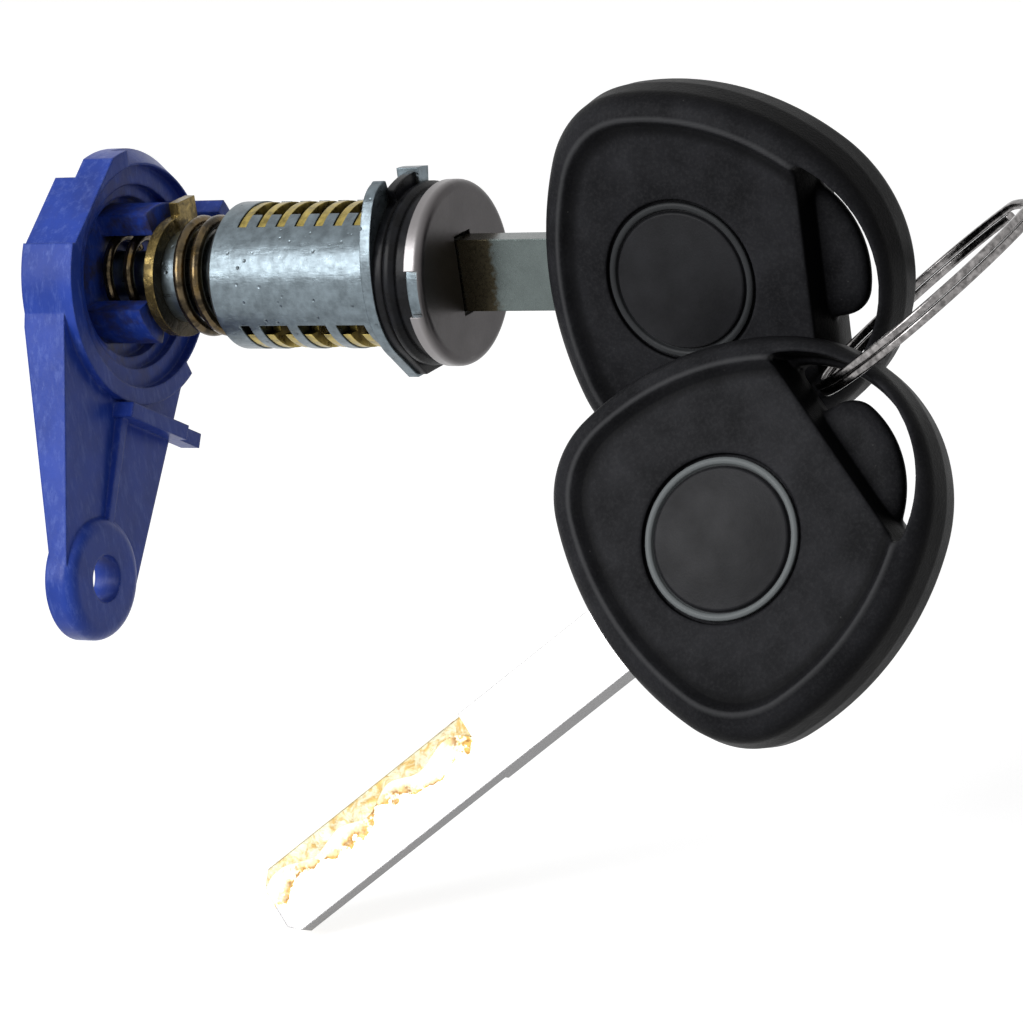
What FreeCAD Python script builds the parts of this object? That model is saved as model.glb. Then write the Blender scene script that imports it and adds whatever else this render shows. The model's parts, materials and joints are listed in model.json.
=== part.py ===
import FreeCAD, Part
import math
import os

V = FreeCAD.Vector

# Car door lock cylinder with its lever, its inserted key, a split ring and a spare key.
# Millimetres. X runs along the barrel towards the key, Z is up, the origin is where the
# barrel's axis meets the rear face of the flange. The keyway stands upright.

# Barrel casting, rear to front
barrel_r = 7.3
barrel_length = 19.0
barrel_chamfer = 0.5
flange_thick = 1.1
flange_r = 9.0
horn_tip = (-4.0, 10.2)
horn_tip_r = 0.6
horn_shoulder = (-6.53, 8.76)
horn_flank = (-8.23, 5.26)
horn_foot_deg = 69.0
far_lug_r = 10.4
far_lug_deg = (92.0, 103.0)
far_lug_thick = 2.4
lobe_low = 9.65
lobe_flat_half = 2.95
lobe_root_deg = -50.0
spigot_r = 6.9
hub_r = 4.6
hub_length = 7.0
shank_r = 2.6
shank_past_clip = 0.95
shank_chamfer = 0.5
clip_groove_r = 1.9

# Fits
running = 0.05
slip = 0.10
loose = 0.25

# Gasket, head ring and cap
gasket_plate_thick = 0.9
gasket_inset = 0.25
gasket_crown_r = 10.0
gasket_crown_deg = (67.0, 106.0)
gasket_bead_r = 8.95
gasket_bead_thick = 1.3
gasket_lip_r = 8.3
gasket_lip_thick = 1.3
ring_thick = 1.25
ring_r = 8.4
cap_r = 9.05
cap_wall = 0.6
cap_skirt = 1.75
cap_edge_round = 0.9
cap_slot_half_height = 3.95
cap_slot_half_width = 1.55
cap_notch_from_deg = -13.5
cap_notch_to_deg = 15.5
cap_notch_depth = 1.35

# Wafers
wafer_count = 7
wafer_pitch = 2.2
wafer_first = 2.55
wafer_thick = 0.85
wafer_half_width = 4.15
wafer_foot_z = 4.6
wafer_travel = 0.9
wafer_flush = 0.12
window_top_z = 3.45
trough_half = 2.7
trough_floor = 4.4
ear_reach = 1.3
ear_half = 0.4
chamber_r = 0.72
spring_seat_z = 3.0
wafer_coil_r = 0.5
wafer_wire = 0.24
wafer_coil_turns = 3
wafer_coil_steps = 8
wafer_coil_sides = 4

# Rear mechanism
torsion_wire = 1.2
torsion_gap = 0.25
torsion_pitch = 2.0
torsion_turns = 2.2
coil_steps = 16
coil_sides = 8
plate_thick = 1.1
plate_r = 6.05
tang_inner = 0.5
tang_outer = 3.6
tang_top = 7.4
thrust_wire = 1.05
thrust_turns = 2.42
thrust_start_deg = 90.0
thrust_gap = 0.9
clip_thick = 0.6
clip_r = 4.2
clip_inner_r = 3.1
clip_prong_half = 0.8

# Lever
lever_front = barrel_length + hub_length + 5.0
lever_rear = lever_front + 6.0
lever_tilt = 30.0
disc_r = 12.9
facet_distance = disc_r - 1.4
facet_deg = 23.5
arm_half_top = disc_r - 0.5
arm_half_end = 6.1
eye_drop = 31.0
eye_r = 6.2
eye_bore_r = 2.4
eye_front = lever_front - 0.4
eye_rear = lever_front + 2.7
eye_round = 1.4
arm_face_top = lever_front + 1.5
arm_face_end = lever_front + 0.3
arm_back_end = lever_front + 2.3
arm_back_straight = 8.0
disc_rear = lever_front + 3.6
rear_top = 7.8
rim_inner_r = disc_r - 1.5
rim_slope_depth = 2.0
rim_slope_deg = (62.0, 215.0)
step_r = (disc_r - 1.7, disc_r - 3.6, disc_r - 4.8)
step_depth = (1.0, 0.9, 1.3)
dog_inner_r = 4.95
upper_dog_deg = (40.0, 94.0)
upper_dog_r = 7.4
upper_dog_front = lever_front - 3.0
lower_dog_deg = (-88.0, -44.0)
lower_dog_r = 7.0
lower_dog_front = lever_front - 3.4
finger_deg = (113.0, 127.0)
finger_inner_r = disc_r - 4.75
finger_r = disc_r - 3.2
finger_front = lever_front - 5.6
tab_drop = 13.2
tab_thick = 1.5
tab_front = lever_front - 1.4
tab_inner = 1.0
tab_outer = -9.2
tab_reach = -12.9
rib_half = 0.5
rib_height = 0.9

# Key, in its own frame: X from the tip to the head, Z across, origin at the badge's centre
blade_half_width = 3.54
blade_half_thick = 1.3
blade_tip = 56.5
blade_root = 5.0
tip_chamfer = 1.1
track_start = 31.0
track_depth = 0.7
track_code = (0.9, 2.3, 1.5, 2.5, 1.2, 2.1, 1.4, 2.4, 1.8)
head_base = 14.9
head_base_r = 32.8
head_nose = 21.2
head_nose_r = 15.2
head_half_width = 18.05
head_widest = -2.0
head_corner_r = 3.7
head_half_thick = 4.65
head_round = 2.4
border_width = 3.4
border_height = 0.45
badge_r = 7.45
badge_gap = 0.2
badge_depth = 1.1
badge_face_r = 6.5
scoop_edge = 12.9
scoop_half = 11.0
scoop_far = 20.0
scoop_floor = 0.8
scoop_slope_end = 13.6
slot_edge = 13.6
slot_far = 19.3
slot_half = 10.0
pill_length = 11.0
pill_r = 1.4
pill_place = -1.5

# Where the keys and the ring lie
key_place = 31.68
spare_place = (41.77, -18.439, -20.903)
spare_axis_x = (0.7767, 0.3084, 0.5493)
spare_axis_z = (-0.6262, 0.2833, 0.7264)
split_ring_r = 13.07
split_wire_axial = 0.74
split_wire_radial = 0.85
split_gap = 0.04
split_crank_deg = 8.0
split_end_gap_deg = 3.0
split_place = (56.938, -3.805, -1.34)
split_normal = (-0.54584, -0.16798, 0.82302)
split_crank_towards = (0.447, 0.862, 0.331)

gasket_front = flange_thick + gasket_plate_thick + gasket_bead_thick + gasket_lip_thick
clip_front = lever_rear + slip + slip / 2

OUT = "parts"
AXIS = V(1, 0, 0)


def lowered(degrees, radius, x=0.0):
    """A point at an angle counted from the near side (-Y) towards the top (+Z)."""
    a = math.radians(degrees)
    return V(x, -radius * math.cos(a), radius * math.sin(a))


def rod(radius, x0, x1):
    """A cylinder on the X axis from x0 to x1."""
    return Part.makeCylinder(radius, x1 - x0, V(x0, 0, 0), AXIS)


def block(x0, x1, y0, y1, z0, z1):
    """A box between two corners."""
    return Part.makeBox(x1 - x0, y1 - y0, z1 - z0, V(x0, y0, z0))


def plate(points, x0, x1):
    """An outline of points in a plane across X, made x1 - x0 thick."""
    wire = Part.makePolygon([V(x0, p.y, p.z) for p in points] + [V(x0, points[0].y, points[0].z)])
    return Part.Face(wire).extrude(V(x1 - x0, 0, 0))


def sector(r0, r1, deg, x0, x1):
    """A piece of a thick tube round the X axis, between two angles."""
    low, high = deg
    mid = (low + high) / 2
    outer = Part.Arc(lowered(low, r1, x0), lowered(mid, r1, x0), lowered(high, r1, x0)).toShape()
    inner = Part.Arc(lowered(high, r0, x0), lowered(mid, r0, x0), lowered(low, r0, x0)).toShape()
    side = Part.makeLine(lowered(high, r1, x0), lowered(high, r0, x0))
    other = Part.makeLine(lowered(low, r0, x0), lowered(low, r1, x0))
    wire = Part.Wire([outer, side, inner, other])
    return Part.Face(wire).extrude(V(x1 - x0, 0, 0))


def turned(profile):
    """A solid turned round the X axis from (x, radius) corners."""
    wire = Part.makePolygon([V(x, 0, r) for x, r in profile] + [V(profile[0][0], 0, profile[0][1])])
    return Part.Face(wire).revolve(V(0, 0, 0), AXIS, 360)


def upright_coil(radius, wire_r, pitch, turns, steps, sides):
    """A wire coiled up the Z axis along a many-sided path, with a many-sided section."""
    count = round(steps * turns)
    path = []
    for k in range(count + 1):
        a = 2 * math.pi * turns * k / count
        path.append(V(radius * math.cos(a), radius * math.sin(a), pitch * turns * k / count))
    section = Part.makeCircle(wire_r, path[0], path[1] - path[0]).discretize(sides + 1)
    return Part.makePolygon(path).makePipeShell([Part.makePolygon(section)], True, False, 1)


def coil(radius, wire_r, pitch, turns, x_start, start_deg):
    """A round wire coiled about the X axis, from x_start backwards."""
    solid = upright_coil(radius, wire_r, pitch, turns, coil_steps, coil_sides)
    solid.rotate(V(0, 0, 0), V(0, 1, 0), -90)
    solid.rotate(V(0, 0, 0), AXIS, start_deg)
    solid.translate(V(x_start, 0, 0))
    return solid


def rims_at(solid, x):
    """The edges of a solid that lie in the plane across X at x."""
    return [e for e in solid.Edges if e.BoundBox.XLength < 0.01 and abs(e.BoundBox.XMin - x) < 0.01]


def wafer_x(i):
    """The middle plane of wafer i, counted from the flange."""
    return -(wafer_first + i * wafer_pitch)


def lobed_disc(inset, x0, x1):
    """A round plate with a flat-ended lobe below, drawn in all round by an inset."""
    root = lowered(lobe_root_deg, flange_r - inset)
    low = lobe_low - inset
    half = lobe_flat_half - inset / 2
    lobe = plate([V(0, root.y, root.z), V(0, -half, -low), V(0, half, -low), V(0, -root.y, root.z)], x0, x1)
    return rod(flange_r - inset, x0, x1).fuse(lobe)


def horn():
    """The near lug: it flares out of the flange's round edge and ends in a blunt tip."""
    foot, base = lowered(0, flange_r), lowered(horn_foot_deg, flange_r)
    flank, shoulder = V(0, *horn_flank), V(0, *horn_shoulder)
    tip = V(0, *horn_tip)
    left = tip + V(0, -horn_tip_r, -horn_tip_r / 4)
    right = tip + V(0, horn_tip_r / 2, -horn_tip_r / 4)
    bend = V(0, (shoulder.y + left.y) / 2 - horn_tip_r / 4, (shoulder.z + left.z) / 2 + horn_tip_r / 4)
    wire = Part.Wire([
        Part.Arc(foot, flank, shoulder).toShape(), Part.Arc(shoulder, bend, left).toShape(),
        Part.Arc(left, tip, right).toShape(), Part.makeLine(right, base),
        Part.makeLine(base, V(0, 0, 0)), Part.makeLine(V(0, 0, 0), foot)])
    return Part.Face(wire).extrude(V(flange_thick, 0, 0))


def barrel():
    rear = -barrel_length
    hub_end = rear - hub_length
    seat_end = hub_end - plate_thick
    tail_end = -(clip_front + clip_thick + shank_past_clip)
    body = turned([
        (tail_end, 0), (tail_end, shank_r - shank_chamfer), (tail_end + shank_chamfer, shank_r),
        (seat_end, shank_r), (seat_end, hub_r - 0.6), (hub_end, hub_r - 0.6),
        (hub_end, hub_r), (rear, hub_r), (rear, barrel_r - barrel_chamfer),
        (rear + barrel_chamfer, barrel_r), (flange_thick / 2, barrel_r),
        (flange_thick / 2, spigot_r), (gasket_front, spigot_r), (gasket_front, 0)])
    body = body.fuse(lobed_disc(0, 0, flange_thick)).fuse(horn())
    body = body.fuse(sector(spigot_r, far_lug_r, far_lug_deg, 0, far_lug_thick))
    tip = key_place - blade_tip
    body = body.cut(block(tip - loose, gasket_front, -blade_half_thick - slip, blade_half_thick + slip,
                          -blade_half_width - slip, blade_half_width + slip))
    half = wafer_thick / 2 + slip
    first, last = wafer_x(0), wafer_x(wafer_count - 1)
    body = body.cut(block(last - half, first + half, -trough_half, trough_half, trough_floor, barrel_r))
    for i in range(wafer_count):
        x = wafer_x(i)
        w = wafer_half_width + slip
        body = body.cut(block(x - half, x + half, -w, w, -barrel_r, barrel_r))
        body = body.cut(block(x - half, x + half, -barrel_r, barrel_r, -barrel_r, -window_top_z))
        side = 1 if i % 2 else -1
        reach = wafer_half_width + ear_reach + slip
        z_end = side * spring_seat_z
        z_free = -side * (ear_half + wafer_travel + slip)
        body = body.cut(block(x - half, x + half, 0, reach, min(z_end, z_free), max(z_end, z_free)))
        centre = wafer_half_width + ear_reach / 2
        z_low = min(z_end, -side * ear_half)
        body = body.cut(Part.makeCylinder(chamber_r, abs(z_end) + ear_half, V(x, centre, z_low), V(0, 0, 1)))
    for i in range(0, wafer_count - 1, 2):
        body = body.cut(block(wafer_x(i + 1) - half, wafer_x(i) + half, -barrel_r, barrel_r,
                              -barrel_r, -window_top_z))
    groove_x = -(lever_rear + slip)
    groove = rod(shank_r + 1, groove_x - clip_thick - slip, groove_x).cut(
        rod(clip_groove_r, groove_x - clip_thick - slip, groove_x))
    return body.cut(groove).removeSplitter()


def gasket():
    """A rubber sheet behind a round bead and a lip, with a crown that stands up over the flange."""
    x0 = flange_thick
    x1 = x0 + gasket_plate_thick
    x2 = x1 + gasket_bead_thick
    round_off = gasket_bead_thick / 3
    bead = turned([
        (x1, 0), (x1, gasket_bead_r - round_off), (x1 + round_off, gasket_bead_r),
        (x2 - round_off, gasket_bead_r), (x2, gasket_bead_r - round_off), (x2, gasket_lip_r),
        (gasket_front, gasket_lip_r), (gasket_front, 0)])
    sheet = lobed_disc(gasket_inset, x0, x1)
    sheet = sheet.fuse(sector(spigot_r, gasket_crown_r, gasket_crown_deg, x0, x1))
    body = sheet.fuse(bead).cut(rod(spigot_r, x0 - 1, gasket_front + 1))
    far = sector(spigot_r - 1, gasket_crown_r + 1, far_lug_deg, 0, far_lug_thick)
    return body.cut(far).removeSplitter()


def head_ring():
    x0 = gasket_front
    x1 = x0 + ring_thick
    body = rod(ring_r, x0, x1)
    return body.cut(block(x0, x1, -blade_half_thick - slip, blade_half_thick + slip,
                          -blade_half_width - slip, blade_half_width + slip))


def cap():
    x0 = gasket_front + ring_thick
    x1 = x0 + cap_wall
    outer = rod(cap_r, x1 - cap_skirt, x1)
    outer = outer.makeFillet(cap_edge_round, rims_at(outer, x1))
    body = outer.cut(rod(cap_r - cap_wall, x1 - cap_skirt - 1, x0))
    w, h = cap_slot_half_width, cap_slot_half_height
    body = body.cut(block(x0 - 1, x1 + 1, -w, w, -h, h))
    notch = sector(cap_r - 2 * cap_wall, cap_r + 1, (cap_notch_from_deg, cap_notch_to_deg),
                   x1 - cap_skirt - 1, x1 - cap_skirt + cap_notch_depth)
    return body.cut(notch)


def wafer(i):
    x = wafer_x(i)
    t = wafer_thick / 2
    r = barrel_r - wafer_flush
    round_plate = rod(r, x - t, x + t)
    stem = block(x - t, x + t, -wafer_half_width, wafer_half_width, -r, r)
    foot = block(x - t, x + t, -r, r, -r, -wafer_foot_z)
    body = round_plate.common(stem.fuse(foot))
    hole_y = blade_half_thick + 2 * slip
    hole_z = blade_half_width + wafer_travel + 2 * slip
    body = body.cut(block(x - t, x + t, -hole_y, hole_y, -hole_z, hole_z))
    ear = block(x - t, x + t, wafer_half_width - 1, wafer_half_width + ear_reach, -ear_half, ear_half)
    return body.fuse(ear).removeSplitter()


def wafer_springs():
    springs = []
    for i in range(wafer_count):
        side = 1 if i % 2 else -1
        length = spring_seat_z - ear_half - wafer_wire
        pitch = length / wafer_coil_turns
        spring = upright_coil(wafer_coil_r, wafer_wire / 2, pitch, wafer_coil_turns,
                              wafer_coil_steps, wafer_coil_sides)
        low = -spring_seat_z + wafer_wire / 2 if side < 0 else ear_half + wafer_wire / 2
        spring.translate(V(wafer_x(i), wafer_half_width + ear_reach / 2, low))
        springs.append(spring)
    return Part.makeCompound(springs)


def torsion_spring():
    radius = hub_r + torsion_gap + torsion_wire / 2
    start = -(barrel_length + torsion_wire / 2 + slip)
    return coil(radius, torsion_wire / 2, torsion_pitch, torsion_turns, start, 0)


def drive_plate():
    x1 = -(barrel_length + hub_length)
    x0 = x1 - plate_thick
    body = rod(plate_r, x0, x1)
    tang = block(x0, x1, tang_inner, tang_outer, 0, tang_top)
    return body.fuse(tang).cut(rod(hub_r - 0.6, x0, x1)).removeSplitter()


def thrust_spring():
    radius = shank_r + thrust_gap + thrust_wire / 2
    front = -(barrel_length + hub_length + plate_thick + thrust_wire / 2)
    back = -(lever_front + sum(step_depth)) + thrust_wire / 2
    turns = thrust_turns
    return coil(radius, thrust_wire / 2, (front - back) / turns, turns, front, thrust_start_deg)


def retaining_clip():
    x1 = -clip_front
    x0 = x1 - clip_thick
    body = rod(clip_r, x0, x1).cut(rod(clip_inner_r, x0, x1))
    for degrees in (0, 90, 180):
        prong = block(x0, x1, -clip_prong_half, clip_prong_half, clip_groove_r + running, clip_inner_r + 0.5)
        prong.rotate(V(0, 0, 0), AXIS, degrees - 90)
        body = body.fuse(prong)
    mouth = block(x0, x1, -shank_r, shank_r, -clip_r - 1, -clip_prong_half)
    return body.cut(mouth).removeSplitter()


def lever():
    back, front = -lever_rear, -lever_front
    disc = rod(disc_r, -disc_rear, front)
    rear_half = block(back, -disc_rear, -disc_r, disc_r, -disc_r, rear_top)
    disc = disc.fuse(rod(disc_r, back, -disc_rear).common(rear_half))
    arm_outline = [V(0, -arm_half_top, 0), V(0, -arm_half_end, -eye_drop),
                   V(0, arm_half_end, -eye_drop), V(0, arm_half_top, 0)]
    prism = plate(arm_outline, back, front)
    profile = [V(-lever_rear, 0, 0), V(-lever_rear, 0, -arm_back_straight),
               V(-arm_back_end, 0, -eye_drop), V(-arm_face_end, 0, -eye_drop), V(-arm_face_top, 0, 0)]
    wire = Part.makePolygon(profile + [profile[0]])
    section = Part.Face(wire).extrude(V(0, 2 * disc_r, 0))
    section.translate(V(0, -disc_r, 0))
    arm = prism.common(section)
    eye = Part.makeCylinder(eye_r, eye_rear - eye_front, V(-eye_rear, 0, -eye_drop), AXIS)
    eye = eye.makeFillet(eye_round, rims_at(eye, -eye_front))
    body = disc.fuse(arm).fuse(eye)
    facet = block(back - 1, front + 1, -disc_r * 2, -facet_distance, -disc_r, disc_r)
    facet.rotate(V(0, 0, 0), AXIS, -facet_deg)
    body = body.cut(facet.common(block(back - 1, front + 1, -3 * disc_r, 0, 0, 3 * disc_r)))
    slope = Part.Face(Part.makePolygon([V(front, 0, rim_inner_r), V(front - rim_slope_depth, 0, disc_r),
                                        V(front - rim_slope_depth, 0, disc_r + 1), V(front + 1, 0, disc_r + 1),
                                        V(front + 1, 0, rim_inner_r), V(front, 0, rim_inner_r)]))
    start, end = rim_slope_deg
    slope.rotate(V(0, 0, 0), AXIS, 90 - start)
    body = body.cut(slope.revolve(V(0, 0, 0), AXIS, start - end))
    x = front
    for r, depth in zip(step_r, step_depth):
        body = body.cut(rod(r, x - depth, x + 1))
        x -= depth
    floor = x
    for deg, r, reach in ((upper_dog_deg, upper_dog_r, upper_dog_front),
                          (lower_dog_deg, lower_dog_r, lower_dog_front),
                          (finger_deg, finger_r, finger_front)):
        inner = finger_inner_r if r == finger_r else dog_inner_r
        body = body.fuse(sector(inner, r, deg, floor - 0.5, -reach))
    face = -(arm_face_top + arm_face_end) / 2
    tab = block(face - 0.8, -tab_front, -tab_inner, -tab_outer, -tab_drop - tab_thick, -tab_drop)
    tab = tab.fuse(block(face - 0.8, face + 1.4, -tab_outer - 1, -tab_reach,
                         -tab_drop - tab_thick, -tab_drop))
    rib = block(face - 0.8, face + rib_height, -rib_half, rib_half, -eye_drop + eye_r - 1, -tab_drop)
    body = body.fuse(tab).fuse(rib)
    body = body.cut(Part.makeCylinder(eye_bore_r, lever_rear, V(-lever_rear, 0, -eye_drop), AXIS))
    body = body.cut(rod(shank_r + running, back - 1, front + 1))
    body.rotate(V(0, 0, 0), AXIS, -lever_tilt)
    return body.removeSplitter()


def arc_xz(a, b, c):
    return Part.Arc(V(a[0], 0, a[1]), V(b[0], 0, b[1]), V(c[0], 0, c[1])).toShape()


def touching(centre_a, reach_a, centre_b, reach_b):
    """The upper point that lies at one distance from each of two centres."""
    gap = math.hypot(centre_b[0] - centre_a[0], centre_b[1] - centre_a[1])
    along = (gap ** 2 + reach_a ** 2 - reach_b ** 2) / (2 * gap)
    off = math.sqrt(reach_a ** 2 - along ** 2)
    ux, uz = (centre_b[0] - centre_a[0]) / gap, (centre_b[1] - centre_a[1]) / gap
    found = [(centre_a[0] + along * ux + k * off * uz, centre_a[1] + along * uz - k * off * ux) for k in (1, -1)]
    return max(found, key=lambda p: p[1])


def beyond(centre, through, reach):
    """The point at a distance from a centre, on the line from it through another point."""
    gap = math.hypot(through[0] - centre[0], through[1] - centre[1])
    return tuple(c + (p - c) / gap * reach for c, p in zip(centre, through))


def head_wire():
    """The key head's outline of tangent arcs: an arched base, two corners, two long sides and a nose."""
    nose_c = head_nose - head_nose_r
    lift = head_half_width - head_nose_r
    run = nose_c - head_widest
    side_r = (run ** 2 / lift + head_half_width + head_nose_r) / 2
    side_c = (head_widest, head_half_width - side_r)
    base_c = (head_base_r - head_base, 0)
    round_c = touching(base_c, head_base_r - head_corner_r, side_c, side_r - head_corner_r)
    low = beyond(base_c, round_c, head_base_r)
    high = beyond(side_c, round_c, side_r)
    top = (head_widest, head_half_width)
    join = beyond(side_c, (nose_c, 0), side_r)
    corner_mid = beyond(round_c, ((low[0] + high[0]) / 2, (low[1] + high[1]) / 2), head_corner_r)
    under = [(p[0], -p[1]) for p in (low, corner_mid, high, top, join)]
    return Part.Wire([
        arc_xz(under[0], (-head_base, 0), low), arc_xz(low, corner_mid, high), arc_xz(high, top, join),
        arc_xz(join, (head_nose, 0), under[4]), arc_xz(under[4], under[3], under[2]),
        arc_xz(under[2], under[1], under[0])])


def arc_field(edge, far, half):
    """A face with one straight side at x = edge and an arc through x = far."""
    chord = Part.makeLine(V(edge, 0, half), V(edge, 0, -half))
    return Part.Face(Part.Wire([chord, arc_xz((edge, -half), (far, 0), (edge, half))]))


def key_head():
    wire = head_wire()
    prism = Part.Face(wire).extrude(V(0, 2 * head_half_thick, 0))
    prism.translate(V(0, -head_half_thick, 0))
    rims = [e for e in prism.Edges if e.BoundBox.YLength < 0.01]
    body = prism.makeFillet(head_round, rims)
    field = Part.Face(Part.Wire(head_wire().makeOffset2D(-border_width).Edges))
    tool = field.extrude(V(0, border_height, 0))
    for side in (-1, 1):
        pocket = tool.copy()
        pocket.translate(V(0, head_half_thick - border_height if side > 0 else -head_half_thick, 0))
        body = body.cut(pocket)
        seat = Part.makeCylinder(badge_r + badge_gap, badge_depth, V(0, side * head_half_thick, 0),
                                 V(0, -side, 0))
        body = body.cut(seat)
        scoop = arc_field(scoop_edge, scoop_far, scoop_half).extrude(V(0, side * head_half_thick, 0))
        ramp = Part.makePolygon([V(scoop_edge, side * head_half_thick, -scoop_half),
                                 V(scoop_slope_end, side * scoop_floor, -scoop_half),
                                 V(scoop_far, side * scoop_floor, -scoop_half),
                                 V(scoop_far, side * head_half_thick, -scoop_half),
                                 V(scoop_edge, side * head_half_thick, -scoop_half)])
        body = body.cut(scoop.common(Part.Face(ramp).extrude(V(0, 0, 2 * scoop_half))))
    slot = arc_field(slot_edge, slot_far, slot_half).extrude(V(0, 2 * head_half_thick, 0))
    slot.translate(V(0, -head_half_thick, 0))
    body = body.cut(slot)
    body = body.cut(block(-head_base - 1, -blade_root, -blade_half_thick, blade_half_thick,
                          -blade_half_width, blade_half_width))
    pill = Part.makeCylinder(pill_r + slip, pill_length + 2 * slip,
                             V(pill_place, 0, -pill_length / 2 - slip), V(0, 0, 1))
    return body.cut(pill).removeSplitter()


def track_wall():
    """The wavy wall of the milled track, a smooth curve through the code depths."""
    count = len(track_code) - 1
    pts = [V(-track_start - (blade_tip - track_start) * k / count, 0, z) for k, z in enumerate(track_code)]
    curve = Part.BSplineCurve()
    curve.interpolate(pts)
    return curve.toShape(), pts


def key_blade():
    w, t, c = blade_half_width, blade_half_thick, tip_chamfer
    outline = [V(-blade_root, 0, -w), V(-blade_root, 0, w), V(-blade_tip + c, 0, w),
               V(-blade_tip, 0, w - c), V(-blade_tip, 0, -w + c), V(-blade_tip + c, 0, -w)]
    wire = Part.makePolygon(outline + [outline[0]])
    body = Part.Face(wire).extrude(V(0, 2 * t, 0))
    body.translate(V(0, -t, 0))
    curve, pts = track_wall()
    over = w + 1
    end = V(-blade_tip - 1, 0, pts[-1].z)
    loop = [curve, Part.makeLine(pts[-1], end), Part.makeLine(end, V(end.x, 0, over)),
            Part.makeLine(V(end.x, 0, over), V(pts[0].x, 0, over)),
            Part.makeLine(V(pts[0].x, 0, over), pts[0])]
    tool = Part.Face(Part.Wire(loop)).extrude(V(0, track_depth, 0))
    tool.translate(V(0, -t, 0))
    back = tool.copy()
    back.rotate(V(0, 0, 0), AXIS, 180)
    return body.cut(tool).cut(back).removeSplitter()


def badge(side):
    """A round badge insert with a sloped edge ring and a gently domed blank face."""
    floor = head_half_thick - badge_depth
    edge = head_half_thick - border_height - 0.15
    face = head_half_thick - border_height + 0.2
    profile = [(0, floor), (badge_r, floor), (badge_r, edge), (badge_face_r, edge), (badge_face_r, face), (0, face)]
    wire = Part.makePolygon([V(r, h, 0) for r, h in profile] + [V(0, floor, 0)])
    body = Part.Face(wire).revolve(V(0, 0, 0), V(0, 1, 0), 360)
    if side < 0:
        body.rotate(V(0, 0, 0), AXIS, 180)
    return body


def transponder():
    return Part.makeCylinder(pill_r, pill_length, V(pill_place, 0, -pill_length / 2), V(0, 0, 1))


def key_set():
    return {"blade": key_blade(), "head": key_head(), "badge_front": badge(-1),
            "badge_back": badge(1), "transponder": transponder()}


def spare_placement():
    x = V(*spare_axis_x)
    z = V(*spare_axis_z)
    y = z.cross(x)
    x.normalize()
    y.normalize()
    z = x.cross(y)
    m = FreeCAD.Matrix(x.x, y.x, z.x, spare_place[0], x.y, y.y, z.y, spare_place[1],
                       x.z, y.z, z.z, spare_place[2], 0, 0, 0, 1)
    return FreeCAD.Placement(m)


def ring_section(degrees, low):
    """The wire's rectangular section at an angle round the ring, with its lower side at low."""
    a = math.radians(degrees)
    corners = []
    for r, z in ((-1, 0), (1, 0), (1, 1), (-1, 1), (-1, 0)):
        radius = split_ring_r + r * split_wire_radial / 2
        corners.append(V(radius * math.cos(a), radius * math.sin(a), low + z * split_wire_axial))
    return Part.makePolygon(corners)


def split_ring():
    """Two flat turns of wire side by side, joined by one short crank."""
    crank, end = split_crank_deg, split_crank_deg + split_end_gap_deg
    low = -split_wire_axial - split_gap / 2
    high = split_gap / 2
    first = Part.Face(ring_section(end, low)).revolve(V(0, 0, 0), V(0, 0, 1), 360 - crank - end)
    second = Part.Face(ring_section(crank, high)).revolve(V(0, 0, 0), V(0, 0, 1), 360 - crank - end)
    step = Part.makeLoft([ring_section(-crank, low), ring_section(0, (low + high) / 2),
                          ring_section(crank, high)], True, True)
    body = first.fuse(second).fuse(step).removeSplitter()
    z = V(*split_normal)
    z.normalize()
    x = V(*split_crank_towards)
    x = x - z * x.dot(z)
    x.normalize()
    y = z.cross(x)
    m = FreeCAD.Matrix(x.x, y.x, z.x, split_place[0], x.y, y.y, z.y, split_place[1],
                       x.z, y.z, z.z, split_place[2], 0, 0, 0, 1)
    body.Placement = FreeCAD.Placement(m)
    return body


def main():
    os.makedirs(OUT, exist_ok=True)
    nodes = {"barrel": barrel(), "gasket": gasket(), "head_ring": head_ring(), "cap": cap(),
             "torsion_spring": torsion_spring(), "drive_plate": drive_plate(),
             "thrust_spring": thrust_spring(), "retaining_clip": retaining_clip(),
             "wafer_springs": wafer_springs(), "lever": lever(), "split_ring": split_ring()}
    for i in range(wafer_count):
        nodes["wafer_%d" % (i + 1)] = wafer(i)
    spare = spare_placement()
    for name, shape in key_set().items():
        inserted = shape.copy()
        inserted.translate(V(key_place, 0, 0))
        nodes["key_" + name] = inserted
        carried = shape.copy()
        carried.Placement = spare.multiply(carried.Placement)
        nodes["spare_" + name] = carried
    for name, shape in nodes.items():
        shape.exportStep(os.path.join(OUT, name + ".step"))
        print(name, shape.isValid(), len(shape.Solids), round(shape.Volume, 2))


main()
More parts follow.
